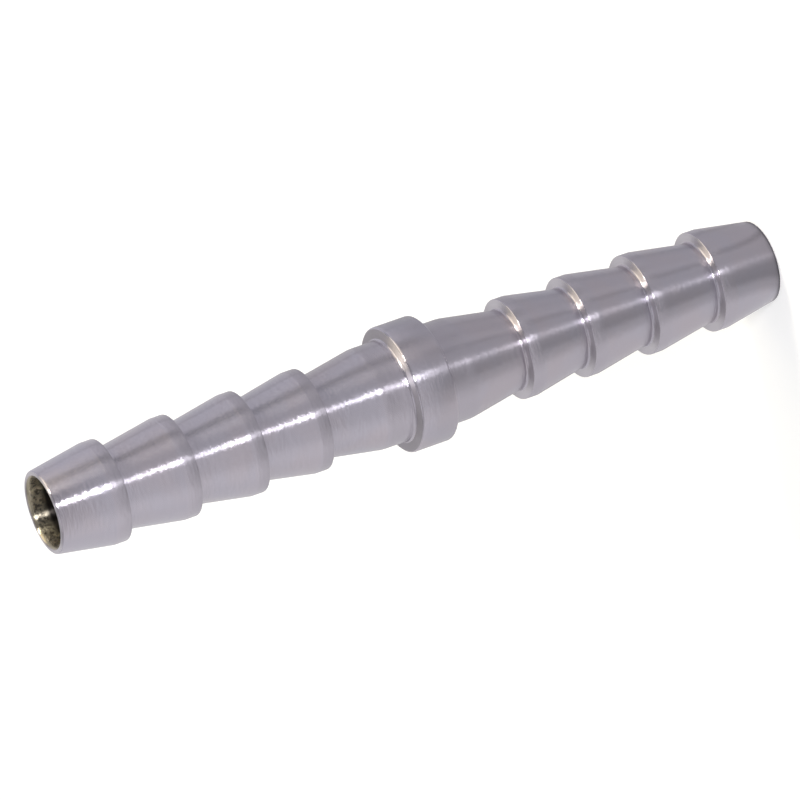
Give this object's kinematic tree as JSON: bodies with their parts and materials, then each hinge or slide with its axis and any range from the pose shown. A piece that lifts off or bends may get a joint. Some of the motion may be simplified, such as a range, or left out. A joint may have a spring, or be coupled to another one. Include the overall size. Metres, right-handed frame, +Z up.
{
  "type": "double hose barb joiner",
  "caption": "Straight turned metal hose joiner: two barbed hose tails back to back on a round collar, with a through bore.",
  "frame": {"origin": "middle of the lower tail's end face, which the part stands on", "axes": "+Z up the bore, from the lower tail to the upper tail; the part is the same all round Z"},
  "size_m": [0.0092, 0.0092, 0.057],
  "materials": {
    "plated_brass": "satin"
  },
  "bodies": {
    "root": {"joiner_body": "plated_brass"}
  },
  "joints": []
}
